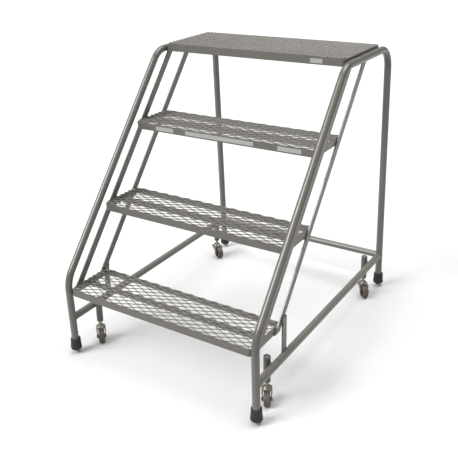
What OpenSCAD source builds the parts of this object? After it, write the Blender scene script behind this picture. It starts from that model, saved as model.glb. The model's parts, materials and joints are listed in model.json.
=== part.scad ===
// Rolling warehouse ladder: three mesh steps and a mesh platform between two bent-tube side
// frames, standing on four spring-loaded swivel casters.  Loaded, the casters retract and the
// rubber-tipped legs take the floor.
// Frame: X to the right, +Y from the front step to the rear legs, +Z up, millimetres.
// The origin is on the floor, midway between the front and rear legs, with the ladder unloaded.

/* [Steps] */
// Height of one step above the one below it
rise = 254; // [240:1:266]
// Distance each step lies behind the one below it
run = 209.5; // [200:0.5:220]
// Depth of a step, front to back
step_depth = 187; // [175:1:190]
// Depth of the platform, front to back
platform_depth = 294.5; // [270:0.5:300]
// Height of the flat bar that edges each step
edge_bar_h = 25.4; // [20:0.2:30]
// Thickness of the edging and stiffening bars
edge_bar_t = 5; // [4:0.5:6]
// Outside radius of an edge bar's front corners
corner_r = 16; // [10:1:24]

/* [Side frames] */
// Distance between the centre lines of the two side frames
track = 760; // [700:1:800]
// Outside diameter of the frame tube
tube_d = 26; // [24:0.5:28]
// Wall of the frame tube
tube_wall = 2; // [1.5:0.1:3]
// Centre-line radius of the bend above each front leg
leg_bend_r = 105; // [90:1:120]
// Centre-line radius of the two bends at platform height
top_bend_r = 80; // [70:1:85]
// Height of the base rails above the foot tips
rail_h = 131; // [125:1:150]

/* [Flat bars] */
// Width of the sloping bars that carry the steps
stringer_w = 25.4; // [20:0.2:28]
// Thickness of the sloping bars
stringer_t = 4.8; // [4:0.2:6]
// Width of the short post behind the bottom step
post_w = 25; // [20:1:28]
// Thickness of the short post
post_t = 5; // [4:0.5:6]

/* [Mesh] */
// Length of one diamond of the expanded metal, across the step
diamond_l = 49.4; // [40:0.2:60]
// Width of one diamond, front to back
diamond_w = 23.5; // [20:0.1:28]
// Width of a mesh strand
strand_w = 3; // [3:0.1:6]
// Thickness of the mesh
mesh_t = 4.5; // [4:0.1:6]

/* [Casters] */
// Height of the foot tips above the floor with no load on the ladder
lift = 14; // [12:1:20]
// Outside diameter of a caster housing
housing_d = 24; // [22:0.5:26]
// Length of a caster housing
housing_l = 97.5; // [85:0.5:100]
// Wheel diameter
wheel_d = 50.8; // [50:0.2:52]
// Tread width
wheel_w = 22; // [20:0.5:23]
// Distance of the wheel axle behind the swivel axis
trail = 19; // [17:0.5:20]
// Stem diameter
stem_d = 11.1; // [10:0.1:12]

/* [Hidden] */

$fn = 48;
eps = 0.01;
paint = [0.44, 0.44, 0.42];
zinc = [0.72, 0.71, 0.67];
rubber = [0.09, 0.09, 0.085];
tread_brown = [0.40, 0.36, 0.31];

// Heights here are above the foot tips, and depths start 2 mm ahead of the front feet's centres.
// placed() moves the whole ladder to the origin described at the top.
tube_r = tube_d / 2;
half_track = track / 2;
step_half = half_track - tube_r;
weld_bite = 0.4;
front_foot_y = 2;
rear_foot_y = 1036;
mid_y = (front_foot_y + rear_foot_y) / 2;
step_front_y = -6.5;
platform_y = 3 * run + step_front_y;
cross_bar_h = edge_bar_h - 4.4;
top_z = 4 * rise - 17.5;
leg_end_z = 6;
// Centre line of a side frame in its own plane: foot, lower bend, upper bend, rear bend, foot.
path = [[front_foot_y, leg_end_z], [-5, 285], [590, top_z], [986, top_z],
    [rear_foot_y, leg_end_z]];
bend_r = [0, leg_bend_r, top_bend_r, top_bend_r, 0];
slope = atan2(path[2][1] - path[1][1], path[2][0] - path[1][0]);

// Sloping bars: distance of each centre line behind the stile's, square to it.
front_stringer_gap = 56;
rear_stringer_gap = 156;
stringer_low_z = rise - edge_bar_h;
stringer_top_z = top_z - 8.5;
post_top_z = rise + 18;

// Casters: [side, y of the swivel axis, heading of the wheel from +X].
front_caster_y = 113.5;
rear_caster_y = 928;
caster_x = half_track - tube_r - housing_d / 2 + weld_bite;
casters = [[-1, front_caster_y, -46], [1, front_caster_y, -61],
    [-1, rear_caster_y, -32], [1, rear_caster_y, -50]];
FL = 0;
FR = 1;
RL = 2;
RR = 3;

// Heights inside a caster, above the floor, with no load on it.
wheel_r = wheel_d / 2;
crown_z = wheel_r * 2 + 1.8;
crown_t = 3;
race_top_z = crown_z + 7.4;
cap_z = race_top_z + 0.3;
cap_top_z = cap_z + 4.4;
travel = lift + 1;
housing_z = cap_top_z + travel + 0.3;
housing_top_z = housing_z + housing_l;
housing_r = housing_d / 2;
housing_bore_r = housing_r - 1.8;
stem_r = stem_d / 2;
bush_l = 14;
collar_z = housing_z + bush_l + 0.1;
collar_t = 6;
roll_t = 1.8;
plug_t = 8;
plug_z = housing_top_z - roll_t - plug_t;
spring_z = collar_z + collar_t;
spring_l = plug_z - spring_z;
spring_wire = 1.8;
spring_coil_r = 7.2;
spring_turns = 8;
axle_r = 4;
hub_r = 18;
swivel_pin_r = 4.95;
leg_in = 13.2;
leg_t = 2;

module placed() {
    translate([0, -mid_y, lift]) children();
}

// ---- tubes ----

// Angle above rearward of the straight that leaves path point i.
function heading(i) = atan2(path[i + 1][1] - path[i][1], path[i + 1][0] - path[i][0]);
// How far the tube turns at path point i, and how far that bend eats into each straight.
function turn(i) = heading(i - 1) - heading(i);
function tangent_l(i) = bend_r[i] == 0 ? 0 : bend_r[i] * tan(turn(i) / 2);
function straight_l(i) = norm(path[i + 1] - path[i]) - tangent_l(i) - tangent_l(i + 1);

module ring(r_out, r_in) {
    difference() {
        circle(r_out);
        circle(r_in);
    }
}

// Places its child at the lower end of a front leg, Z along the tube and X rearward.
module at_leg_end(side) {
    translate([side * half_track, path[0][0], path[0][1]])
        rotate([heading(0) - 90, 0, 0]) rotate([0, 0, 90]) children();
}

// Goes round the bend at path point i.
module round_bend(i) {
    translate([bend_r[i], 0, 0]) rotate([0, turn(i), 0]) translate([-bend_r[i], 0, 0]) children();
}

// Goes along the tube, from the lower end of the front leg to the start of straight i.
module along(i) {
    if (i == 0) children();
    else along(i - 1) translate([0, 0, straight_l(i - 1)]) round_bend(i) children();
}

// The wall of a bend is a hair thinner than the straights' wall, which lap over its ends.
module side_frame(side) {
    inside = tube_r - tube_wall;
    thinning = 0.05;
    lap = 0.2;
    color(paint) placed() at_leg_end(side) {
        for (i = [0 : 3]) {
            low = i == 0 ? 0 : lap;
            high = i == 3 ? 0 : lap;
            along(i) translate([0, 0, -low])
                linear_extrude(straight_l(i) + low + high) ring(tube_r, inside);
        }
        for (i = [1 : 3])
            along(i - 1) translate([bend_r[i], 0, straight_l(i - 1)]) rotate([90, 0, 180])
                rotate_extrude(angle = turn(i)) translate([bend_r[i], 0])
                    ring(tube_r - thinning, inside + thinning);
    }
}

// Full-size solid of one straight, for cutting another part to fit against it.
module straight_cutter(side, i) {
    at_leg_end(side) along(i) cylinder(r = tube_r, h = straight_l(i));
}

// Depth of a front leg's and a rear leg's centre line at height z.
function front_leg_y(z) = path[0][0] + (path[1][0] - path[0][0])
    * (z - path[0][1]) / (path[1][1] - path[0][1]);
function rear_leg_y(z) = path[4][0] + (path[3][0] - path[4][0])
    * (z - path[4][1]) / (path[3][1] - path[4][1]);

// Rails run between leg centre lines, stopping short by a little so that the cut for a leg
// of the same size leaves no knife edge.
leg_inset = 1;

module rail_solid(side, r, extra = 0) {
    y0 = front_leg_y(rail_h) + leg_inset - extra;
    translate([side * half_track, y0, rail_h])
        rotate([-90, 0, 0])
            cylinder(r = r, h = rear_leg_y(rail_h) - leg_inset + extra - y0);
}

module base_rail(side) {
    color(paint) placed() difference() {
        rail_solid(side, tube_r);
        rail_solid(side, tube_r - tube_wall, 1);
        straight_cutter(side, 0);
        straight_cutter(side, 3);
    }
}

module base_rail_rear() {
    length = track - 2 * leg_inset;
    color(paint) placed() difference() {
        translate([-length / 2, rear_leg_y(rail_h), rail_h]) rotate([0, 90, 0]) difference() {
            cylinder(r = tube_r, h = length);
            translate([0, 0, -1]) cylinder(r = tube_r - tube_wall, h = length + 2);
        }
        for (side = [-1, 1]) {
            straight_cutter(side, 3);
            rail_solid(side, tube_r);
        }
    }
}

// ---- flat bars ----

// Depth and height of the point at height z on a line gap behind the stile's centre line.
function on_slope(gap, z) = [path[1][0] + gap / sin(slope)
    + (z - path[1][1]) / tan(slope), z];

module stringer(side, gap) {
    inner = side > 0 ? step_half : -step_half - stringer_t;
    color(paint) placed() difference() {
        translate([inner, 0, 0]) rotate([90, 0, 90]) linear_extrude(stringer_t) polygon([
            on_slope(gap - stringer_w / 2, stringer_low_z),
            on_slope(gap + stringer_w / 2, stringer_low_z),
            on_slope(gap + stringer_w / 2, stringer_top_z),
            on_slope(gap - stringer_w / 2, stringer_top_z)]);
        straight_cutter(side, 2);
    }
}

module post(side) {
    inner = step_half + stringer_t;
    color(paint) placed() difference() {
        translate([side > 0 ? inner : -inner - post_t, step_y(1) + step_depth, rail_h])
            cube([post_t, post_w, post_top_z - rail_h]);
        rail_solid(side, tube_r);
    }
}

// ---- steps and platform ----

// Plan of a step whose two front corners are rounded, with its front edge on y = 0.
module round_front(half, depth, r) {
    translate([-half, r]) square([2 * half, depth - r]);
    translate([-half + r, 0]) square([2 * half - 2 * r, r + eps]);
    for (s = [-1, 1]) translate([s * (half - r), r]) circle(r);
}

module u_plan(half, depth) {
    difference() {
        round_front(half, depth - edge_bar_t, corner_r);
        translate([0, edge_bar_t])
            round_front(half - edge_bar_t, depth, corner_r - edge_bar_t);
    }
}

// One flat bar bent round the front and sides, with its top edge at height z.
module edge_bar(y, z, half, depth) {
    translate([0, y, z - edge_bar_h]) linear_extrude(edge_bar_h) u_plan(half, depth);
}

// Depth of the front edge of step n.
function step_y(n) = (n - 1) * run + step_front_y;

module step_edge_bar(n) {
    color(paint) placed() edge_bar(step_y(n), n * rise, step_half, step_depth);
}

module platform_edge_bar() {
    color(paint) placed() difference() {
        edge_bar(platform_y, 4 * rise, step_half + weld_bite, platform_depth);
        for (side = [-1, 1]) straight_cutter(side, 2);
    }
}

// Bar closing the back of a step, with its rear face at depth y.
module rear_bar(y, z) {
    color(paint) placed() translate([-step_half, y - edge_bar_t, z - cross_bar_h])
        cube([2 * step_half, edge_bar_t, cross_bar_h]);
}

// Bar under the mesh, between the side bars and centred on depth y.
module stiffener(y, z) {
    inner = step_half - edge_bar_t;
    translate([-inner, y - edge_bar_t / 2, z - cross_bar_h])
        cube([2 * inner, edge_bar_t, cross_bar_h]);
}

module mesh_stiffeners() {
    behind_edge = 88;
    color(paint) placed() {
        for (n = [1 : 3]) stiffener(step_y(n) + behind_edge, n * rise);
        for (k = [1, 2]) stiffener(platform_y + platform_depth * k / 3, 4 * rise);
    }
}

// Half-sizes of a diamond hole.
hole_x = diamond_l / 2 - strand_w / 2 / sin(atan2(diamond_w, diamond_l));
hole_y = diamond_w / 2 - strand_w / 2 / cos(atan2(diamond_w, diamond_l));

// Diamond holes in staggered rows, clear of a plain margin round the plan.
module diamonds(half, depth) {
    margin = edge_bar_t;
    rows = floor((depth - 2 * margin - 2 * hole_y) / (diamond_w / 2)) + 1;
    y0 = (depth - (rows - 1) * diamond_w / 2) / 2;
    for (j = [0 : rows - 1]) {
        across = floor((half - margin - hole_x) / diamond_l - (j % 2) / 2);
        columns = j % 2 == 0 ? [-across : across] : [-across - 1 : across];
        for (i = columns)
            translate([(i + (j % 2) / 2) * diamond_l, y0 + j * diamond_w / 2])
                polygon([[hole_x, 0], [0, hole_y], [-hole_x, 0], [0, -hole_y]]);
    }
}

// The mesh lies on the bars and is flush with their outer faces.
module mesh(y, z, depth) {
    color(paint) placed() translate([0, y, z]) linear_extrude(mesh_t) difference() {
        round_front(step_half, depth, corner_r);
        diamonds(step_half, depth);
    }
}

// Blank label plates on the front edges: [centre x, width], on the third step then the platform.
step_labels = [[-234.5, 77], [-3.8, 279.4], [271.2, 87.6]];
platform_labels = [[261, 45]];
label_h = 15;
label_t = 0.4;

module label_plates() {
    module row(labels, y, z) {
        for (l = labels)
            translate([l[0] - l[1] / 2, y - label_t, z - edge_bar_h / 2 - label_h / 2])
                cube([l[1], label_t, label_h]);
    }
    color("gainsboro") placed() {
        row(step_labels, step_y(3), 3 * rise);
        row(platform_labels, platform_y, 4 * rise);
    }
}

// ---- feet ----

module foot_tip(side, at_rear) {
    tip_h = 46;
    color(rubber) placed() difference() {
        translate([side * half_track, at_rear ? rear_foot_y : front_foot_y, 0])
            rotate_extrude() polygon([[0, 0], [17.5, 0], [20, 3], [20.5, 10], [19, 26],
                [17.6, tip_h], [0, tip_h]]);
        straight_cutter(side, at_rear ? 3 : 0);
    }
}

// ---- casters ----

// Puts a caster part, drawn on the swivel axis with its wheel towards +X, where caster c is.
module at_caster(c, turned = true) {
    translate([casters[c][0] * caster_x, casters[c][1] - mid_y, 0])
        rotate([0, 0, turned ? casters[c][2] : 0]) children();
}

module tube_between(r_out, r_in, z0, z1) {
    translate([0, 0, z0]) difference() {
        cylinder(r = r_out, h = z1 - z0);
        translate([0, 0, -1]) cylinder(r = r_in, h = z1 - z0 + 2);
    }
}

// Tube whose upper end is rolled inward over the plug that the spring pushes against.
module caster_housing(c) {
    mouth_r = 7;
    color(paint) difference() {
        at_caster(c, false) rotate_extrude() polygon([
            [housing_bore_r, housing_z], [housing_r - 1, housing_z],
            [housing_r, housing_z + 1.5], [housing_r, housing_top_z - 4],
            [housing_r - 0.6, housing_top_z - 1.8], [housing_r - 2.2, housing_top_z - 0.4],
            [housing_r - 4, housing_top_z], [mouth_r, housing_top_z],
            [mouth_r, housing_top_z - roll_t], [housing_bore_r, housing_top_z - roll_t]]);
        placed() rail_solid(casters[c][0], tube_r);
    }
}

module stem_bushes() {
    color(zinc) for (c = [FL, FR, RL, RR])
        at_caster(c, false)
            tube_between(housing_bore_r, stem_r + 0.05, housing_z, housing_z + bush_l);
}

module housing_plugs() {
    color(zinc) for (c = [FL, FR, RL, RR])
        at_caster(c, false) translate([0, 0, plug_z]) cylinder(r = housing_bore_r, h = plug_t);
}

// Compression spring: a hexagonal wire swept at an even pitch from the collar to the plug.
module spring(c) {
    sides = 6;
    rings = spring_turns * 10;
    r = spring_wire / 2;
    seat = r * sin(60);
    points = [for (i = [0 : rings]) for (k = [0 : sides - 1])
        let (a = 360 * spring_turns * i / rings, b = 360 * k / sides,
            d = spring_coil_r + r * cos(b))
        [d * cos(a), d * sin(a), seat + (spring_l - 2 * seat) * i / rings + r * sin(b)]];
    sheath = [for (i = [0 : rings - 1]) for (k = [0 : sides - 1])
        let (a = i * sides + k, b = i * sides + (k + 1) % sides)
        [a, a + sides, b + sides, b]];
    ends = [[for (k = [0 : sides - 1]) k],
        [for (k = [0 : sides - 1]) (rings + 1) * sides - 1 - k]];
    color(zinc) at_caster(c, false) translate([0, 0, spring_z])
        polyhedron(points, concat(sheath, ends));
}

// Riveted head, swivel pin, cap disc, stem, collar and spring guide turned as one piece.
module stem(c) {
    head_r = 8;
    cap_r = 12;
    guide_r = 4;
    guide_top_z = spring_z + 21;
    color(zinc) at_caster(c, false) rotate_extrude() polygon([
        [0, crown_z - 2.6], [head_r, crown_z - 2.6], [head_r, crown_z - 0.3],
        [swivel_pin_r, crown_z - 0.3], [swivel_pin_r, cap_z], [cap_r, cap_z],
        [cap_r, cap_top_z - 1], [cap_r - 1, cap_top_z], [stem_r, cap_top_z],
        [stem_r, collar_z], [housing_bore_r - 0.1, collar_z],
        [housing_bore_r - 0.1, spring_z], [guide_r, spring_z],
        [guide_r, guide_top_z - 1], [guide_r - 1, guide_top_z], [0, guide_top_z]]);
}

// Turns a shape drawn about the Z axis so that it lies on the wheel's axle.
module on_axle() {
    translate([trail, 0, wheel_r]) rotate([90, 0, 0]) children();
}

// Side view of the fork's two legs, front edge first.
module leg_profile() {
    boss_r = 8;
    polygon([[-16, crown_z + crown_t], [-16, crown_z - 7], [trail - boss_r, wheel_r - 2],
        [trail, wheel_r], [trail + boss_r, wheel_r], [trail - 2, crown_z + crown_t]]);
    translate([trail, wheel_r]) circle(boss_r);
}

// End view of the fork: legs upright at the axle, spread below the crown.
module fork_section() {
    flare = 3;
    low = wheel_r + 8.6;
    high = crown_z - 4.6;
    difference() {
        polygon([[-leg_in - leg_t, 0], [-leg_in - leg_t, low],
            [-leg_in - leg_t - flare, high], [-leg_in - leg_t - flare / 2, crown_z + crown_t],
            [leg_in + leg_t + flare / 2, crown_z + crown_t], [leg_in + leg_t + flare, high],
            [leg_in + leg_t, low], [leg_in + leg_t, 0]]);
        polygon([[-leg_in, -1], [-leg_in, low], [-leg_in - flare, high],
            [-leg_in - flare * 0.7, crown_z], [leg_in + flare * 0.7, crown_z],
            [leg_in + flare, high], [leg_in, low], [leg_in, -1]]);
    }
}

module fork(c) {
    race_r = 16.4;
    color(zinc) at_caster(c) difference() {
        union() {
            intersection() {
                translate([0, 30, 0]) rotate([90, 0, 0]) linear_extrude(60) leg_profile();
                translate([-30, 0, 0]) rotate([90, 0, 90]) linear_extrude(80) fork_section();
            }
            rotate_extrude() polygon([[0, crown_z + crown_t], [race_r, crown_z + crown_t],
                [race_r, crown_z + crown_t + 1.6], [race_r - 3.4, race_top_z], [0, race_top_z]]);
        }
        cylinder(r = swivel_pin_r + 0.05, h = 2 * race_top_z);
        on_axle() cylinder(r = axle_r, h = 60, center = true);
    }
}

// Axle bolt with a hexagon head and a thin nut, clamped outside the fork legs.
module axle(c) {
    hex_r = 7.5;
    hex_t = 2.6;
    tip = 0.8;
    color(zinc) at_caster(c) on_axle() {
        translate([0, 0, -leg_in - leg_t - eps])
            cylinder(r = axle_r, h = 2 * (leg_in + leg_t) + hex_t + tip);
        translate([0, 0, leg_in + leg_t]) cylinder(r = hex_r, h = hex_t, $fn = 6);
        translate([0, 0, -leg_in - leg_t - hex_t]) cylinder(r = hex_r, h = hex_t, $fn = 6);
    }
}

module hub(c) {
    half = leg_in - 0.4;
    rim = wheel_w / 2;
    color(rubber) at_caster(c) on_axle() rotate_extrude() polygon([
        [axle_r + 0.05, -half], [8.5, -half], [9.5, -half + 4], [15, -half + 5], [16, -rim],
        [hub_r, -rim], [hub_r, rim], [16, rim], [15, half - 5], [9.5, half - 4],
        [8.5, half], [axle_r + 0.05, half]]);
}

module tyre(c) {
    half = wheel_w / 2;
    color(tread_brown) at_caster(c) on_axle() rotate_extrude() polygon([
        [hub_r, -half], [wheel_r - 2, -half], [wheel_r - 0.6, -half + 1.5],
        [wheel_r, -half + 4.5], [wheel_r, half - 4.5], [wheel_r - 0.6, half - 1.5],
        [wheel_r - 2, half], [hub_r, half]]);
}

// ---- nodes ----

side_frame(-1);  // side_frame_left
side_frame(1);  // side_frame_right
base_rail(-1);  // base_rail_left
base_rail(1);  // base_rail_right
base_rail_rear();
stringer(-1, front_stringer_gap);  // stringer_front_left
stringer(1, front_stringer_gap);  // stringer_front_right
stringer(-1, rear_stringer_gap);  // stringer_rear_left
stringer(1, rear_stringer_gap);  // stringer_rear_right
post(-1);  // post_left
post(1);  // post_right
step_edge_bar(1);  // step_1_edge_bar
step_edge_bar(2);  // step_2_edge_bar
step_edge_bar(3);  // step_3_edge_bar
platform_edge_bar();
rear_bar(step_y(1) + step_depth, rise);  // step_1_rear_bar
rear_bar(step_y(2) + step_depth, 2 * rise);  // step_2_rear_bar
rear_bar(step_y(3) + step_depth, 3 * rise);  // step_3_rear_bar
rear_bar(platform_y + platform_depth, 4 * rise);  // platform_rear_bar
mesh_stiffeners();
mesh(step_y(1), rise, step_depth);  // step_1_mesh
mesh(step_y(2), 2 * rise, step_depth);  // step_2_mesh
mesh(step_y(3), 3 * rise, step_depth);  // step_3_mesh
mesh(platform_y, 4 * rise, platform_depth);  // platform_mesh
label_plates();
foot_tip(-1, false);  // foot_tip_front_left
foot_tip(1, false);  // foot_tip_front_right
foot_tip(-1, true);  // foot_tip_rear_left
foot_tip(1, true);  // foot_tip_rear_right
stem_bushes();
housing_plugs();
caster_housing(FL);  // caster_housing_front_left
caster_housing(FR);  // caster_housing_front_right
caster_housing(RL);  // caster_housing_rear_left
caster_housing(RR);  // caster_housing_rear_right
spring(FL);  // spring_front_left
spring(FR);  // spring_front_right
spring(RL);  // spring_rear_left
spring(RR);  // spring_rear_right
stem(FL);  // stem_front_left
stem(FR);  // stem_front_right
stem(RL);  // stem_rear_left
stem(RR);  // stem_rear_right
fork(FL);  // fork_front_left
fork(FR);  // fork_front_right
fork(RL);  // fork_rear_left
fork(RR);  // fork_rear_right
axle(FL);  // axle_front_left
axle(FR);  // axle_front_right
axle(RL);  // axle_rear_left
axle(RR);  // axle_rear_right
hub(FL);  // hub_front_left
hub(FR);  // hub_front_right
hub(RL);  // hub_rear_left
hub(RR);  // hub_rear_right
tyre(FL);  // tyre_front_left
tyre(FR);  // tyre_front_right
tyre(RL);  // tyre_rear_left
tyre(RR);  // tyre_rear_right
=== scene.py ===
"""Looks of the rolling warehouse ladder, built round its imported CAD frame."""
import json
import math

import bmesh
import bpy
from mathutils import Matrix, Vector


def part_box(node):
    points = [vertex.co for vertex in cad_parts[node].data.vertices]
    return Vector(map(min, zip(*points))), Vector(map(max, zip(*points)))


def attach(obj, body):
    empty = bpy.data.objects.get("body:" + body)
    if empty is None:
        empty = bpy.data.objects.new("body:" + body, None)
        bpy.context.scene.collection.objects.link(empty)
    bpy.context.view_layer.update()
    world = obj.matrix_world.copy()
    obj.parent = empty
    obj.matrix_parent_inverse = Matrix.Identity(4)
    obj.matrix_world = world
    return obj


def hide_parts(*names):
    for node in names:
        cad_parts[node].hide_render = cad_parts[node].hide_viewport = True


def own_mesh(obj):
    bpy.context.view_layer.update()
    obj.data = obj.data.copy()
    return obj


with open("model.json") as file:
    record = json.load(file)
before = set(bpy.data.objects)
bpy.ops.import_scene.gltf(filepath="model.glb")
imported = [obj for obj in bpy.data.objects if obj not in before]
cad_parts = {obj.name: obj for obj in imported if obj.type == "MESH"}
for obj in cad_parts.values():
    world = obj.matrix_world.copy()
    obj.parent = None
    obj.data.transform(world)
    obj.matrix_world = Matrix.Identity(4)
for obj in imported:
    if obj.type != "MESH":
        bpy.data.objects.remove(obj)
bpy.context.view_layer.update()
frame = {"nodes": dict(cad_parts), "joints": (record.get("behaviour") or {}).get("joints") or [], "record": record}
LADDER = "ladder"
PLACES = ("front_left", "front_right", "rear_left", "rear_right")

RISE = 0.254
EDGE_H, CORNER_R = 0.0254, 0.016
LIFT, MID_Y = 0.014, 0.519
TUBE_R = 0.013
HALF_TRACK = 0.380
STEP_HALF = HALF_TRACK - TUBE_R
STRINGER_T, STRINGER_W = 0.0048, 0.0254
STRINGER_GAPS = (0.056, 0.156)
PATH = [(0.002, 0.006), (-0.005, 0.285), (0.590, 0.9985), (0.986, 0.9985), (1.036, 0.006)]
SLOPE = math.atan2(PATH[2][1] - PATH[1][1], PATH[2][0] - PATH[1][0])
RAIL_Z = 0.131


def at(x, y, z):
    """A point given in the CAD source's own depths and heights, in the row frame."""
    return Vector((x, y - MID_Y, z + LIFT))


# ---------------------------------------------------------------- materials

class Nodes:
    """A material's node tree, with its Principled shader and short calls for the usual nodes."""

    def __init__(self, name):
        self.material = bpy.data.materials.new(name)
        self.material.use_nodes = True
        self.tree = self.material.node_tree
        self.shader = next(n for n in self.tree.nodes if n.type == "BSDF_PRINCIPLED")
        self.where = self.tree.nodes.new("ShaderNodeTexCoord").outputs["Object"]

    def set(self, **values):
        for name, value in values.items():
            self.shader.inputs[name.replace("_", " ")].default_value = value

    def link(self, source, name):
        self.tree.links.new(source, self.shader.inputs[name])

    def noise(self, scale, detail=3.0, rough=0.5, stretch=None):
        node = self.tree.nodes.new("ShaderNodeTexNoise")
        node.inputs["Scale"].default_value = scale
        node.inputs["Detail"].default_value = detail
        node.inputs["Roughness"].default_value = rough
        source = self.where
        if stretch:
            mapping = self.tree.nodes.new("ShaderNodeMapping")
            mapping.inputs["Scale"].default_value = stretch
            self.tree.links.new(source, mapping.inputs["Vector"])
            source = mapping.outputs["Vector"]
        self.tree.links.new(source, node.inputs["Vector"])
        return node.outputs["Fac"]

    def cells(self, scale):
        node = self.tree.nodes.new("ShaderNodeTexVoronoi")
        node.inputs["Scale"].default_value = scale
        self.tree.links.new(self.where, node.inputs["Vector"])
        return node.outputs["Color"]

    def ramp(self, source, stops):
        """stops: (position, grey level or colour) pairs."""
        node = self.tree.nodes.new("ShaderNodeValToRGB")
        while len(node.color_ramp.elements) < len(stops):
            node.color_ramp.elements.new(0.5)
        for element, (place, value) in zip(node.color_ramp.elements, stops):
            element.position = place
            colour = value if isinstance(value, tuple) else (value, value, value)
            element.color = (*colour, 1.0)
        self.tree.links.new(source, node.inputs["Fac"])
        return node.outputs["Color"]

    def mix(self, share, a, b):
        """a where share is 0 and b where it is 1; each is a colour or a socket."""
        node = self.tree.nodes.new("ShaderNodeMix")
        node.data_type = "RGBA"
        self.tree.links.new(share, node.inputs["Factor"])
        for name, value in (("A", a), ("B", b)):
            socket = next(s for s in node.inputs if s.name == name and s.type == "RGBA")
            if isinstance(value, tuple):
                socket.default_value = (*value, 1.0)
            else:
                self.tree.links.new(value, socket)
        return next(s for s in node.outputs if s.type == "RGBA")

    def pointed(self, low, high):
        """0 on flats and 1 on outside edges."""
        geometry = self.tree.nodes.new("ShaderNodeNewGeometry")
        return self.ramp(geometry.outputs["Pointiness"], [(low, 0.0), (high, 1.0)])

    def bump(self, source, height, strength=1.0):
        node = self.tree.nodes.new("ShaderNodeBump")
        node.inputs["Distance"].default_value = height
        node.inputs["Strength"].default_value = strength
        self.tree.links.new(source, node.inputs["Height"])
        self.tree.links.new(node.outputs["Normal"], self.shader.inputs["Normal"])


def paint_material(name, base, dust, edge_wear_and_highlight):
    """Warm grey enamel: orange peel, faint clouding, and outside edges lighter, partly rubbed wear and partly a
    painted highlight.
    """
    m = Nodes(name)
    cloud = m.ramp(m.noise(9, 4), [(0.35, 0.0), (0.7, 1.0)])
    colour = m.mix(cloud, base, dust)
    # Outside edges take a lighter colour: rubbed wear together with a painted highlight along them.
    colour = m.mix(m.pointed(0.52, 0.62), colour, edge_wear_and_highlight)
    m.link(colour, "Base Color")
    m.link(m.ramp(m.noise(60, 3), [(0.3, 0.27), (0.7, 0.32)]), "Roughness")
    m.set(Specular_IOR_Level=0.5)
    m.bump(m.noise(420, 2), 0.0002, 0.10)
    return m.material


def rubber_material():
    m = Nodes("black_rubber")
    m.link(m.mix(m.ramp(m.noise(45, 5), [(0.45, 0.0), (0.75, 1.0)]),
                 (0.008, 0.008, 0.007), (0.018, 0.017, 0.016)), "Base Color")
    m.link(m.ramp(m.noise(130, 3), [(0.3, 0.50), (0.7, 0.72)]), "Roughness")
    m.bump(m.noise(900, 3), 0.0002, 0.5)
    return m.material


def zinc_material(name, light, dark, low, high):
    """Zinc plate: soft crystals and a little darker clouding."""
    m = Nodes(name)
    m.set(Metallic=0.9)
    crystals = m.ramp(m.cells(500), [(0.2, 0.0), (0.8, 1.0)])
    colour = m.mix(crystals, light, tuple(0.86 * c for c in light))
    colour = m.mix(m.ramp(m.noise(90, 4), [(0.5, 0.0), (0.75, 1.0)]), colour, dark)
    m.link(colour, "Base Color")
    m.link(m.ramp(m.noise(160, 3), [(0.3, low), (0.7, high)]), "Roughness")
    m.bump(m.noise(700, 2), 0.0001, 0.3)
    return m.material


def tread_material():
    """Grey-brown hard rubber, scuffed where it rolls."""
    m = Nodes("caster_tread")
    colour = m.mix(m.ramp(m.noise(140, 5), [(0.35, 0.0), (0.7, 1.0)]),
                   (0.062, 0.048, 0.036), (0.092, 0.074, 0.057))
    m.link(colour, "Base Color")
    m.link(m.ramp(m.noise(200, 3), [(0.3, 0.45), (0.7, 0.65)]), "Roughness")
    m.bump(m.noise(1400, 3), 0.00015, 0.5)
    return m.material


def hub_material():
    m = Nodes("caster_hub")
    m.link(m.mix(m.noise(80, 4), (0.012, 0.011, 0.011), (0.022, 0.020, 0.019)), "Base Color")
    m.link(m.ramp(m.noise(260, 3), [(0.3, 0.38), (0.7, 0.55)]), "Roughness")
    m.bump(m.noise(1200, 2), 0.0001, 0.4)
    return m.material


def label_material(name, base, smudge):
    m = Nodes(name)
    m.link(m.mix(m.ramp(m.noise(110, 5), [(0.45, 0.0), (0.8, 1.0)]), base, smudge),
           "Base Color")
    m.link(m.ramp(m.noise(300, 3), [(0.3, 0.35), (0.7, 0.5)]), "Roughness")
    m.bump(m.noise(500, 2), 0.00008, 0.4)
    return m.material


PAINT = paint_material("grey_enamel", (0.082, 0.077, 0.067), (0.089, 0.083, 0.073),
                       (0.122, 0.115, 0.101))
# The mesh copy: faces a shade darker as painted shade, and a much lighter edge colour, wear and a painted
# highlight on the strands' edges.
MESH_PAINT = paint_material("grey_enamel_mesh", (0.078, 0.073, 0.064), (0.090, 0.084, 0.074),
                            (0.160, 0.151, 0.134))
RUBBER = rubber_material()
ZINC = zinc_material("zinc_plate", (0.31, 0.29, 0.25), (0.22, 0.20, 0.17), 0.36, 0.50)
SPRING_STEEL = zinc_material("spring_wire", (0.42, 0.41, 0.40), (0.25, 0.24, 0.23), 0.3, 0.45)
DARK_STEEL = zinc_material("dark_steel", (0.10, 0.095, 0.09), (0.05, 0.047, 0.044), 0.35, 0.5)
TREAD = tread_material()
HUB = hub_material()
LABEL = label_material("blank_label", (0.30, 0.30, 0.29), (0.24, 0.24, 0.23))

LOOKS = {"frame_paint": PAINT, "foot_rubber": RUBBER, "zinc_plate": ZINC,
         "spring_steel": SPRING_STEEL, "axle_steel": DARK_STEEL, "hub_plastic": HUB,
         "tyre": TREAD, "label_vinyl": LABEL}

# ---------------------------------------------------------------- mesh code


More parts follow.
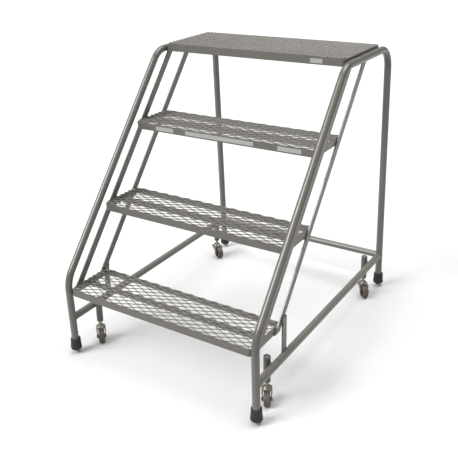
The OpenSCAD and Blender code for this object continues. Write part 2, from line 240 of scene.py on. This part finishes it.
def piece(name, verts, faces, slot, body, nodes=(), material=None, soften=None):
    """A mesh object that rides on a body, shaded smooth except across sharp edges.
    soften: width of a small round on its sharp edges."""
    mesh = bpy.data.meshes.new(name)
    mesh.from_pydata([tuple(v) for v in verts], [], faces)
    made = bmesh.new()
    made.from_mesh(mesh)
    bmesh.ops.remove_doubles(made, verts=made.verts, dist=1e-7)
    bmesh.ops.recalc_face_normals(made, faces=made.faces)
    if soften:
        sharp = [e for e in made.edges
                 if len(e.link_faces) == 2 and e.calc_face_angle() > math.radians(40)]
        bmesh.ops.bevel(made, geom=sharp, offset=soften, segments=2, profile=0.6,
                        affect="EDGES", clamp_overlap=True)
    for face in made.faces:
        face.smooth = True
    for edge in made.edges:
        edge.smooth = not (len(edge.link_faces) == 2
                           and edge.calc_face_angle() > math.radians(38))
    made.to_mesh(mesh)
    made.free()
    obj = bpy.data.objects.new(name, mesh)
    bpy.context.scene.collection.objects.link(obj)
    obj.data.materials.append(material or LOOKS[slot])
    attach(obj, body)
    if nodes:
        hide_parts(*nodes)
    return obj


class Shape:
    """Vertices and faces gathered from several closed shells."""

    def __init__(self):
        self.verts, self.faces = [], []

    def add(self, verts, faces, place=None):
        start = len(self.verts)
        self.verts += [place @ Vector(v) if place else Vector(v) for v in verts]
        self.faces += [[start + i for i in f] for f in faces]
        return self

    def rings(self, rings, place=None, closed=False):
        """A skin over rings of points, each with the same count; its ends are capped
        unless it closes on itself."""
        n, count = len(rings[0]), len(rings)
        faces = []
        for a in range(count if closed else count - 1):
            b = (a + 1) % count
            for k in range(n):
                j = (k + 1) % n
                faces.append([a * n + k, a * n + j, b * n + j, b * n + k])
        if not closed:
            faces += [list(range(n))[::-1], [(count - 1) * n + k for k in range(n)]]
        return self.add([p for ring in rings for p in ring], faces, place)

    def lathe(self, profile, place=None, sides=48):
        """Turns (radius, height) points about Z. A profile that starts and ends on the
        axis is capped there; any other one closes on itself."""
        verts, faces, rows = [], [], []
        for r, z in profile:
            if r < 1e-7:
                rows.append([len(verts)])
                verts.append((0, 0, z))
            else:
                rows.append([len(verts) + k for k in range(sides)])
                verts += [(r * math.cos(2 * math.pi * k / sides),
                           r * math.sin(2 * math.pi * k / sides), z) for k in range(sides)]
        pairs = list(zip(rows, rows[1:]))
        if len(rows[0]) > 1:
            pairs.append((rows[-1], rows[0]))
        for low, high in pairs:
            for k in range(sides):
                j = (k + 1) % sides
                if len(low) == 1 and len(high) > 1:
                    faces.append([low[0], high[j], high[k]])
                elif len(high) == 1 and len(low) > 1:
                    faces.append([low[k], low[j], high[0]])
                elif len(low) > 1:
                    faces.append([low[k], low[j], high[j], high[k]])
        return self.add(verts, faces, place)

    def tube(self, points, radius, sides=12, closed=False):
        """A round bar along points; radius is a number or one for each point."""
        points = [Vector(p) for p in points]
        count = len(points)
        radii = radius if isinstance(radius, (list, tuple)) else [radius] * count
        side, rings = None, []
        for i, p in enumerate(points):
            before = points[i - 1] if i or closed else p
            after = points[(i + 1) % count] if i < count - 1 or closed else p
            along = (after - before).normalized()
            if side is None:
                side = along.orthogonal().normalized()
            side = (side - along * side.dot(along)).normalized()
            other = along.cross(side)
            rings.append([p + radii[i] * (math.cos(a) * side + math.sin(a) * other)
                          for a in (2 * math.pi * k / sides for k in range(sides))])
        return self.rings(rings, closed=closed)

    def piece(self, name, slot, body, nodes=(), material=None, soften=None):
        return piece(name, self.verts, self.faces, slot, body, nodes, material, soften)


def rounded(profile, radius, steps=3):
    """A lathe or bar profile with its inner corners rounded to about that radius."""
    out = [profile[0]]
    for a, b, c in zip(profile, profile[1:], profile[2:]):
        a, b, c = Vector(a), Vector(b), Vector(c)
        reach = min(radius, 0.45 * (b - a).length, 0.45 * (c - b).length)
        p, q = b + (a - b).normalized() * reach, b + (c - b).normalized() * reach
        for k in range(steps + 1):
            t = k / steps
            out.append(tuple(p * (1 - t) ** 2 + b * 2 * t * (1 - t) + q * t ** 2))
    out.append(profile[-1])
    return out

# ---------------------------------------------------------------- treads

# Expanded metal: diamond length, half its width, then the strands' own size and tilt.
LWD, STRIP_PITCH = 0.0494, 0.01175
STRAND_W, STRAND_T = 0.0029, 0.0022
TILT = math.radians(37)


def strand_wave(u):
    """1 where a strand is joined to the next one behind, -1 to the next one in front."""
    return max(-1.0, min(1.0, 1.13 * math.cos(2 * math.pi * u)))


def expanded_panel(node):
    """Raised expanded metal: slit strips of sheet, pulled apart so that each one zigzags
    between its neighbours, every bond tipped up at the back."""
    low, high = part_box(node)
    reach = STRAND_W * math.cos(TILT)
    half_t = STRAND_T / 2
    swing_z = STRAND_W / 2 * math.sin(TILT)
    middle_z = high.z - 2 * swing_z - half_t * math.cos(TILT)
    # A whole number of strips fills the depth.
    overhang = half_t * math.sin(TILT)
    room = high.y - low.y - 2 * overhang
    count = round(room / STRIP_PITCH)
    pitch = room / count
    swing_y = (pitch - reach) / 2
    bond = Vector((0, math.cos(TILT), math.sin(TILT)))
    half_w = STRAND_W / 2 + 0.00004
    bevel = 0.00045
    section = [(half_w, half_t - bevel), (half_w - bevel, half_t), (-half_w + bevel, half_t),
               (-half_w, half_t - bevel), (-half_w, -half_t + bevel),
               (-half_w + bevel, -half_t), (half_w - bevel, -half_t), (half_w, -half_t + bevel)]
    shape = Shape()
    step = LWD / 12
    for j in range(count):
        y0 = low.y + overhang + pitch * (j + 0.5)
        # Strips in the rounded front corners are shorter.
        into = max(0.0, CORNER_R - (y0 - swing_y - low.y))
        limit = high.x - 0.0002 - CORNER_R + math.sqrt(CORNER_R ** 2 - into ** 2)
        first = math.ceil(-limit / step + 0.2)
        xs = [-limit] + [k * step for k in range(first, -first + 1)] + [limit]
        sign = 1 if j % 2 == 0 else -1

        def centre(x):
            s = sign * strand_wave(x / LWD)
            return Vector((x, y0 + s * swing_y, middle_z - s * swing_z))

        rings = []
        for x in xs:
            along = (centre(x + step / 3) - centre(x - step / 3)).normalized()
            wide = (bond - along * bond.dot(along)).normalized()
            thick = along.cross(wide)
            # Sections stay upright across X so that the ends are sheared square.
            ring = []
            for a, b in section:
                p = centre(x) + a * wide + b * thick
                p -= along * ((p.x - x) / along.x)
                ring.append(p)
            rings.append(ring)
        shape.rings(rings)
    shape.piece(node + "_strands", "frame_paint", LADDER, [node], MESH_PAINT)


# ---------------------------------------------------------------- welds

# Radii of the beads: tube to tube, bar or housing to tube, fillets, the underside of the
# platform tube, and the bottom step's corners.
TUBE_BEAD, BAR_BEAD, FILLET_BEAD, UNDER_BEAD, CORNER_BEAD = 0.0021, 0.0019, 0.0016, 0.0018, 0.0026
# Points along a bead, and the ripples left by each dab.
BEAD_STEP, RIPPLE = 0.0009, 0.0032
# Stitches along the platform's edge: where each starts, its length and its height.
STITCH_STARTS, STITCH_L, STITCH_Z = (0.660, 0.755, 0.850), 0.040, 1.0066
# Height at which the stringers meet the platform tube from below.
STRINGER_END_Z = 0.9876

def weld(shape, points, radius, closed=False):
    """A rippled bead along a line of points, with blunt ends."""
    points = [Vector(p) for p in points]
    if closed:
        points.append(points[0])
    lengths = [0.0]
    for a, b in zip(points, points[1:]):
        lengths.append(lengths[-1] + (b - a).length)
    total = lengths[-1]
    steps = max(6, round(total / BEAD_STEP))
    ripple = total / max(1, round(total / RIPPLE))
    spots, radii, k = [], [], 0
    for i in range(steps + (0 if closed else 1)):
        s = total * i / steps
        while k < len(lengths) - 2 and lengths[k + 1] < s:
            k += 1
        t = (s - lengths[k]) / max(lengths[k + 1] - lengths[k], 1e-9)
        spots.append(points[k].lerp(points[k + 1], t))
        swell = 0.86 + 0.14 * abs(math.sin(math.pi * s / ripple))
        fade = 1.0 if closed else min(1.0, 0.45 + 1.6 * min(s, total - s) / (2 * radius))
        radii.append(radius * swell * fade)
    shape.tube(spots, radii, sides=8, closed=closed)


def saddle(start, along, r, main, main_along, main_r, count=40):
    """Where a tube of radius r, run from start, meets a tube of radius main_r."""
    along, main_along = along.normalized(), main_along.normalized()
    a = main_along.cross(along).normalized()
    b = along.cross(a)
    loop = []
    for k in range(count):
        t = 2 * math.pi * k / count
        p = start + r * (math.cos(t) * a + math.sin(t) * b)
        # Solve |(p + s along - main) less its part on main_along| = main_r, nearer root.
        w = p - main
        w -= main_along * w.dot(main_along)
        v = along - main_along * along.dot(main_along)
        qa, qb, qc = v.dot(v), 2 * w.dot(v), w.dot(w) - main_r ** 2
        root = math.sqrt(max(qb * qb - 4 * qa * qc, 0.0))
        loop.append(p + along * ((-qb - root) / (2 * qa)))
    return loop


def on_slope(gap, z):
    """Depth at height z on a line that lies gap behind the stile's centre line."""
    return PATH[1][0] + gap / math.sin(SLOPE) + (z - PATH[1][1]) / math.tan(SLOPE)


def leg_y(front, z):
    (ya, za), (yb, zb) = (PATH[0], PATH[1]) if front else (PATH[4], PATH[3])
    return ya + (yb - ya) * (z - za) / (zb - za)


def frame_welds():
    shape = Shape()
    front_y, rear_y = leg_y(True, RAIL_Z), leg_y(False, RAIL_Z)
    up_front = at(0, *PATH[1]) - at(0, *PATH[0])
    up_rear = at(0, *PATH[3]) - at(0, *PATH[4])
    for side in (-1, 1):
        x = side * HALF_TRACK
        mid = at(x, 0.5, RAIL_Z)
        for y, lean, way in ((front_y, up_front, -1), (rear_y, up_rear, 1)):
            weld(shape, saddle(mid, Vector((0, way, 0)), TUBE_R, at(x, y, RAIL_Z), lean,
                               TUBE_R), TUBE_BEAD, closed=True)
        weld(shape, saddle(at(0, rear_y, RAIL_Z), Vector((side, 0, 0)), TUBE_R,
                           at(x, rear_y, RAIL_Z), up_rear, TUBE_R), TUBE_BEAD, closed=True)
        caster_welds(shape, side)
        post_welds(shape, side)
        step_welds(shape, side)
        # Platform edge bar to the tube beside it, in three stitches along the top.
        stitch_x = side * (STEP_HALF + 0.0014)
        for y in STITCH_STARTS:
            weld(shape, [at(stitch_x, y + d, STITCH_Z) for d in (0, STITCH_L / 2, STITCH_L)],
                 BAR_BEAD)
        # Bottom step's front corner to the front leg.
        corner = [at(side * (STEP_HALF - 0.0002), 0.0022, z / 1000) for z in range(230, 254, 3)]
        weld(shape, corner, CORNER_BEAD)
    shape.piece("weld_beads", "frame_paint", LADDER)


def caster_welds(shape, side):
    """A ring of weld where each upright housing crosses the rail."""
    for place in PLACES:
        if ("right" in place) != (side > 0):
            continue
        low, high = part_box("caster_housing_" + place)
        x, y, r = (low.x + high.x) / 2, (low.y + high.y) / 2, (high.y - low.y) / 2
        ring = []
        half_y, half_z, points = 0.0078, 0.0088, 28
        for k in range(points):
            t = 2 * math.pi * k / points
            dy, dz = half_y * math.cos(t), half_z * math.sin(t)
            on_housing = x + side * math.sqrt(r * r - dy * dy)
            on_rail = side * (HALF_TRACK - math.sqrt(TUBE_R ** 2 - dz * dz))
            ring.append(((on_housing + on_rail) / 2, y + dy, RAIL_Z + LIFT + dz))
        weld(shape, ring, BAR_BEAD, closed=True)


def post_welds(shape, side):
    low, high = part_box("post_right" if side > 0 else "post_left")
    foot = []
    inner, outer = (low.x, high.x) if side > 0 else (high.x, low.x)
    for x, ys in ((inner, (low.y, high.y)), (outer, (high.y, low.y))):
        drop = math.sqrt(TUBE_R ** 2 - (abs(x) - HALF_TRACK) ** 2)
        a, b = ys
        foot += [(x, a + (b - a) * k / 6, RAIL_Z + LIFT + drop) for k in range(7)]
    weld(shape, foot, BAR_BEAD, closed=True)
    for y in (low.y + 0.0006, high.y - 0.0006):
        weld(shape, [(inner, y, high.z - d) for d in (0.002, 0.012, 0.022)],
             FILLET_BEAD)


def step_welds(shape, side):
    """Fillets down both edges of each stringer where it crosses an edge bar's side, and
    under the platform tube."""
    x = side * (STEP_HALF + 0.0006)
    for gap in STRINGER_GAPS:
        for n in (1, 2, 3):
            top = n * RISE
            for edge in (-STRINGER_W / 2, STRINGER_W / 2):
                zs = [top - EDGE_H + 0.001 + k * 0.0035 for k in range(6)]
                weld(shape, [at(x, on_slope(gap + edge, z), z) for z in zs], FILLET_BEAD)
        z = STRINGER_END_Z
        ys = [on_slope(gap - STRINGER_W / 2, z), on_slope(gap + STRINGER_W / 2, z)]
        outer = side * (STEP_HALF + STRINGER_T + 0.0005)
        weld(shape, [at(outer, ys[0], z), at(outer, ys[1], z)], UNDER_BEAD)
        for edge in (-STRINGER_W / 2, STRINGER_W / 2):
            y = on_slope(gap + edge, z)
            weld(shape, [at(x, y, z), at(outer, y, z)], FILLET_BEAD)


# ---------------------------------------------------------------- feet and casters

def place_at(x, y, z=0.0, heading=0.0):
    return Matrix.Translation((x, y, z)) @ Matrix.Rotation(math.radians(heading), 4, "Z")


def foot_tip(place):
    """Moulded tip: thick foot with a bead round it, tapering to a lipped sleeve."""
    node = "foot_tip_" + place
    low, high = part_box(node)
    x, y = (low.x + high.x) / 2, (low.y + high.y) / 2
    height, r = high.z - low.z, (high.x - low.x) / 2
    profile = [(0, 0), (0.0155, 0), (0.0168, 0.0006), (r - 0.0010, 0.0028), (r - 0.0002, 0.0065),
               (r, 0.0105), (r - 0.0005, 0.0135), (r - 0.0012, 0.0195), (0.0186, 0.0300),
               (0.0180, 0.0400), (0.0179, height - 0.0025), (0.0175, height - 0.0006),
               (0.0163, height), (0.0137, height), (0.0133, height - 0.0008),
               (0.0132, height - 0.0060), (0, height - 0.0060)]
    shape = Shape().lathe(rounded(profile, 0.0016), place_at(x, y, low.z), 56)
    shape.piece(node + "_moulding", "foot_rubber", LADDER, [node])


def caster(place):
    """Everything on one caster, drawn on its swivel axis and turned to its heading."""
    stem, fork, wheel = ("stem_body_" + place, "fork_body_" + place, "wheel_body_" + place)
    swivel = next(j for j in frame["joints"] if j["name"] == "fork_swivel_" + place)
    roll = next(j for j in frame["joints"] if j["name"] == "wheel_roll_" + place)
    axis, axle = Vector(swivel["pos_m"]), Vector(roll["pos_m"])
    heading = math.degrees(math.atan2(axle.y - axis.y, axle.x - axis.x))
    base = place_at(axis.x, axis.y)
    turned = place_at(axis.x, axis.y, 0, heading)
    trail = math.hypot(axle.x - axis.x, axle.y - axis.y)
    hub_at = turned @ Matrix.Translation((trail, 0, axle.z)) @ Matrix.Rotation(
        math.radians(90), 4, "X")
    housing(place, base)
    stem_piece(place, base, stem)
    spring(place, base)
    fork_piece(place, turned, trail, axle.z, fork)
    axle_piece(place, hub_at, fork)
    wheel_piece(place, hub_at, wheel)


def housing(place, base):
    node = "caster_housing_" + place
    low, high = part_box(node)
    r, a, b = 0.012, low.z, high.z
    bore, mouth = r - 0.0018, 0.0070
    profile = [(bore, a), (r - 0.0012, a), (r, a + 0.0016), (r, b - 0.0042),
               (r - 0.0006, b - 0.0019), (r - 0.0022, b - 0.0005), (r - 0.0038, b),
               (mouth + 0.0004, b), (mouth, b - 0.0005), (mouth, b - 0.0018),
               (bore, b - 0.0018)]
    Shape().lathe(rounded(profile, 0.0006), base, 48).piece(
        node + "_tube", "frame_paint", LADDER, [node])


def stem_piece(place, base, body):
    node = "stem_" + place
    low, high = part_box(node)
    # Heights above the riveted head's underside, with the CAD's own radii.
    z = low.z
    cap = z + 0.0103
    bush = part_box("stem_bushes")[1].z
    collar = bush + 0.0001
    profile = [(0, z), (0.0062, z), (0.0078, z + 0.0010), (0.0080, z + 0.0023),
               (0.00495, z + 0.0023), (0.00495, cap), (0.0114, cap), (0.0120, cap + 0.0008),
               (0.0119, cap + 0.0024), (0.0106, cap + 0.0038), (0.0070, cap + 0.0044),
               (0.00555, cap + 0.0044), (0.00555, collar), (0.0100, collar),
               (0.0101, collar + 0.0059), (0.0040, collar + 0.0060), (0.0040, high.z - 0.001),
               (0.0030, high.z), (0, high.z)]
    Shape().lathe(rounded(profile, 0.0005), base, 48).piece(
        node + "_turned", "zinc_plate", body, [node])


def spring(place, base):
    """Coil spring with its end turns closed and ground flat."""
    node = "spring_" + place
    low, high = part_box(node)
    wire, coil_r, turns, per_turn = 0.0009, 0.0072, 8, 22
    # Share of the coil that lies flat at each end.
    dead = 0.8 / turns
    points = []
    for i in range(turns * per_turn + 1):
        t = i / (turns * per_turn)
        rise = max(0.0, min(1.0, (t - dead) / (1 - 2 * dead)))
        end = (wire * 1.9 * (1 if t > 0.5 else -1)
               * max(0.0, (abs(t - 0.5) - 0.5 + dead) / dead))
        z = (low.z + wire * 3 + (high.z - low.z - 6 * wire) * rise) + end
        a = 2 * math.pi * turns * t
        points.append(base @ Vector((coil_r * math.cos(a), coil_r * math.sin(a), z)))
    obj = Shape().tube(points, wire, sides=10).piece(node + "_coil", "spring_steel", LADDER,
                                                     [node])
    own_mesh(obj)


def fork_piece(place, turned, trail, axle_z, body):
    """Pressed fork: one sheet bent over the crown and down both sides, with the ball race
    pressed up round the swivel pin."""
    node = "fork_" + place
    sheet, inner, flare, corner, boss = 0.002, 0.0132, 0.003, 0.0045, 0.008
    front_edge, rear_taper, grid_step = -0.016, 0.010, 0.0016
    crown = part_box(node)[1].z - 0.0074
    low, high = axle_z + 0.0086, crown - 0.0046
    side = [(inner, axle_z - boss), (inner, low), (inner + flare, high)]
    arc = []
    for k in range(9):
        t = math.radians(90 * k / 8)
        arc.append((inner + flare - corner + corner * math.cos(t),
                    crown - corner + corner * math.sin(t)))
    half = side + arc
    line = []
    for a, b in zip(half, half[1:]):
        n = max(1, math.ceil(math.dist(a, b) / grid_step))
        line += [(a[0] + (b[0] - a[0]) * k / n, a[1] + (b[1] - a[1]) * k / n)
                 for k in range(n)]
    line.append(half[-1])
    crown_steps = 8
    line += [(half[-1][0] * (1 - k / crown_steps), crown) for k in range(1, crown_steps)]
    line += [(0, crown)] + [(-y, z) for y, z in reversed(line)]

    def extent(y, z):
        """Front and rear edges of the fork at that height of its side."""
        if z >= crown - corner:
            across = min(1.0, abs(y) / inner)
            bow = 0.0012 * (1 - across ** 2)
            return front_edge - bow, trail + boss - rear_taper + bow
        down = max(-1.0, min(1.0, (z - axle_z) / boss))
        round_off = boss * math.sqrt(max(0.0, 1 - down * down)) if z < axle_z else boss
        rear = trail + round_off
        if z > axle_z:
            t = (z - axle_z) / (crown - corner - axle_z)
            rear = trail + boss - rear_taper * t
        front = trail - round_off
        if z > axle_z - 0.002:
            t = min(1.0, (z - axle_z + 0.002) / (crown - 0.007 - axle_z + 0.002))
            front = (trail - boss) + (front_edge - trail + boss) * t
        return front, rear

    columns = 12
    grids = []
    for offset in (0.0, sheet):
        grid = []
        for i, (y, z) in enumerate(line):
            before, after = line[max(i - 1, 0)], line[min(i + 1, len(line) - 1)]
            ty, tz = after[0] - before[0], after[1] - before[1]
            norm = math.hypot(ty, tz)
            oy, oz = tz / norm * offset, -ty / norm * offset
            front, rear = extent(y, z)
            grid.append([turned @ Vector((front + (rear - front) * k / columns, y + oy, z + oz))
                         for k in range(columns + 1)])
        grids.append(grid)
    verts, faces = [], []
    rows = len(line)
    for grid in grids:
        for row in grid:
            verts += row
    n = columns + 1

    def index(g, i, k):
        return g * rows * n + i * n + k

    for i in range(rows - 1):
        for k in range(columns):
            a = [index(0, i, k), index(0, i, k + 1), index(0, i + 1, k + 1), index(0, i + 1, k)]
            b = [index(1, i, k), index(1, i + 1, k), index(1, i + 1, k + 1), index(1, i, k + 1)]
            faces += [a, b]
        for k in (0, columns):
            faces.append([index(0, i, k), index(0, i + 1, k), index(1, i + 1, k),
                          index(1, i, k)])
    for i in (0, rows - 1):
        for k in range(columns):
            faces.append([index(0, i, k), index(0, i, k + 1), index(1, i, k + 1),
                          index(1, i, k)])
    shape = Shape().add(verts, faces)
    base = crown + 0.003
    race = [(0.0051, base - 0.0004), (0.0158, base - 0.0004), (0.0164, base + 0.0002),
            (0.0164, base + 0.0012), (0.0155, base + 0.0024), (0.0132, base + 0.0032),
            (0.0125, base + 0.0042), (0.0110, base + 0.0044), (0.0051, base + 0.0044)]
    shape.lathe(rounded(race, 0.0005), turned, 48)
    shape.piece(node + "_pressing", "zinc_plate", body, [node], soften=0.0003)


def hexagon(shape, place, r, low, high, chamfer):
    """A hexagon head or nut on the Z axis, chamfered on its outer face."""
    sides, points = 6, 36
    chamfered_r = 0.86 * r
    rings = []
    for z, most in ((low, r), (high - chamfer, r), (high, chamfered_r)):
        ring = []
        for k in range(points):
            a = 2 * math.pi * k / points
            flat = math.cos(math.pi / sides) / math.cos(
                (a % (2 * math.pi / sides)) - math.pi / sides)
            radius = min(r * flat, most)
            ring.append((radius * math.cos(a), radius * math.sin(a), z))
        rings.append(ring)
    if high < low:
        rings = [list(reversed(ring)) for ring in rings]
    shape.rings(rings, place)


def axle_piece(place, hub_at, body):
    node = "axle_" + place
    face, thick = 0.0152, 0.0026
    shape = Shape()
    shape.lathe([(0, -face - 0.0005), (0.004, -face - 0.0005), (0.004, face + thick + 0.0003),
                 (0.0034, face + thick + 0.0008), (0, face + thick + 0.0008)], hub_at, 24)
    hexagon(shape, hub_at, 0.0075, face, face + thick, 0.0006)
    hexagon(shape, hub_at, 0.0075, -face, -face - thick, -0.0006)
    shape.piece(node + "_bolt", "axle_steel", body, [node])


def wheel_piece(place, hub_at, body):
    """Hub with a recessed, ribbed web, and a crowned tread on it."""
    r, rim, half = 0.0254, 0.018, 0.011
    tread = [(rim, -half), (r - 0.0026, -half), (r - 0.0009, -half + 0.0014),
             (r, -half + 0.0046), (r, half - 0.0046), (r - 0.0009, half - 0.0014),
             (r - 0.0026, half), (rim, half)]
    Shape().lathe(rounded(tread, 0.0012), hub_at, 72).piece(
        "tyre_" + place + "_tread", "tyre", body, ["tyre_" + place])
    boss, web = 0.0128, 0.0055
    profile = [(0.00405, -boss), (0.0080, -boss), (0.0086, -boss + 0.0006),
               (0.0094, -web - 0.0004), (0.0100, -web), (0.0148, -web), (0.0154, -web - 0.0006),
               (0.0160, -half + 0.0002), (rim, -half + 0.0001), (rim, half - 0.0001),
               (0.0160, half - 0.0002), (0.0154, web + 0.0006), (0.0148, web),
               (0.0100, web), (0.0094, web + 0.0004), (0.0086, boss - 0.0006),
               (0.0080, boss), (0.00405, boss)]
    shape = Shape().lathe(rounded(profile, 0.0004), hub_at, 60)
    for way in (-1, 1):
        for k in range(6):
            spin = hub_at @ Matrix.Rotation(math.radians(60 * k + 15 * way), 4, "Z")
            rings = []
            for x in (0.0088, 0.0158):
                rings.append([(x, y, way * z) for y, z in (
                    (-0.0007, web - 0.0005), (0.0007, web - 0.0005),
                    (0.0005, 0.0098), (-0.0005, 0.0098))])
            shape.rings(rings, spin)
    shape.piece("hub_" + place + "_moulding", "hub_plastic", body, ["hub_" + place])


# ---------------------------------------------------------------- build

for node, obj in frame["nodes"].items():
    part = next(p for p in frame["record"]["subparts"] if p["node"] == node)
    obj.data.materials.clear()
    obj.data.materials.append(LOOKS[part["material_slot"]])

for node in ("step_1_mesh", "step_2_mesh", "step_3_mesh", "platform_mesh"):
    expanded_panel(node)
frame_welds()
for place in PLACES:
    foot_tip(place)
    caster(place)

# The flat bars keep their CAD meshes, with a small round on their edges.
BAR_ROUND = 0.0006
BARS = [n for n in frame["nodes"] if n.startswith(("stringer", "post", "mesh_stiffeners"))
        or n.endswith(("_edge_bar", "_rear_bar"))]
for node in BARS:
    obj = frame["nodes"][node]
    normals = obj.data.attributes.get("custom_normal")
    if normals:
        obj.data.attributes.remove(normals)
    join = obj.modifiers.new("join", "WELD")
    join.merge_threshold = 1e-6
    soft = obj.modifiers.new("soften", "BEVEL")
    soft.width = BAR_ROUND
    soft.segments = 2
    soft.limit_method = "ANGLE"
    soft.angle_limit = math.radians(50)
    soft.harden_normals = False

# ---------------------------------------------------------------- stage, light, camera


FLOOR_SIZE = 40.0


def floor_material():
    m = Nodes("pale_floor")
    m.link(m.mix(m.noise(1.5, 2), (0.50, 0.50, 0.50), (0.51, 0.51, 0.51)), "Base Color")
    m.set(Roughness=0.9, Specular_IOR_Level=0.1)
    return m.material


def add_floor():
    mesh = bpy.data.meshes.new("floor")
    h = FLOOR_SIZE / 2
    mesh.from_pydata([(-h, -h, 0), (h, -h, 0), (h, h, 0), (-h, h, 0)], [], [(0, 1, 2, 3)])
    obj = bpy.data.objects.new("floor", mesh)
    bpy.context.scene.collection.objects.link(obj)
    obj.data.materials.append(floor_material())


add_floor()

# Strengths of the sky and of the three suns.
WORLD, KEY, FILL, TOP = 0.34, 4.2, 0.12, 3.4


def sun(name, where, strength, spread):
    """A distant light that shines from where towards the origin; spread is in degrees."""
    light = bpy.data.lights.new(name, "SUN")
    light.energy, light.angle = strength, math.radians(spread)
    obj = bpy.data.objects.new(name, light)
    obj.location = where
    obj.rotation_euler = (-Vector(where)).to_track_quat("-Z", "Y").to_euler()
    bpy.context.scene.collection.objects.link(obj)


world = bpy.data.worlds.new("studio")
world.use_nodes = True
background = next(n for n in world.node_tree.nodes if n.type == "BACKGROUND")
background.inputs["Color"].default_value = (1.0, 1.0, 1.0, 1.0)
background.inputs["Strength"].default_value = WORLD
bpy.context.scene.world = world
bpy.context.scene.view_settings.view_transform = "Standard"
sun("key", (-2.0, -3.0, 3.4), KEY, 30)
sun("fill", (3.0, -1.5, 2.4), FILL, 40)
sun("top", (0.3, 0.9, 4.0), TOP, 45)

# Camera: where it stands, its turns in degrees, its lens and sensor width in millimetres,
# and how far the picture is shifted, as a share of its width.
WHERE = Vector((1.288, -2.108, 1.503))
YAW, PITCH, ROLL = 34.91, 21.30, -2.09
LENS, SENSOR = 56.3817, 36.0
SHIFT = (0.074236, -0.085153)


def add_camera():
    yaw, pitch, roll = (math.radians(a) for a in (YAW, PITCH, ROLL))
    ahead = Vector((-math.sin(yaw) * math.cos(pitch), math.cos(yaw) * math.cos(pitch),
                    -math.sin(pitch)))
    right = Vector((math.cos(yaw), math.sin(yaw), 0))
    up = right.cross(ahead)
    r = math.cos(roll) * right + math.sin(roll) * up
    u = -math.sin(roll) * right + math.cos(roll) * up
    turn = Matrix((r, u, -ahead)).transposed().to_4x4()
    camera = bpy.data.cameras.new("camera")
    camera.sensor_fit, camera.sensor_width = "HORIZONTAL", SENSOR
    camera.lens = LENS
    camera.shift_x, camera.shift_y = SHIFT
    camera.clip_end = 100.0
    obj = bpy.data.objects.new("camera", camera)
    obj.matrix_world = Matrix.Translation(WHERE) @ turn
    bpy.context.scene.collection.objects.link(obj)
    bpy.context.scene.camera = obj


add_camera()

bpy.context.view_layer.update()
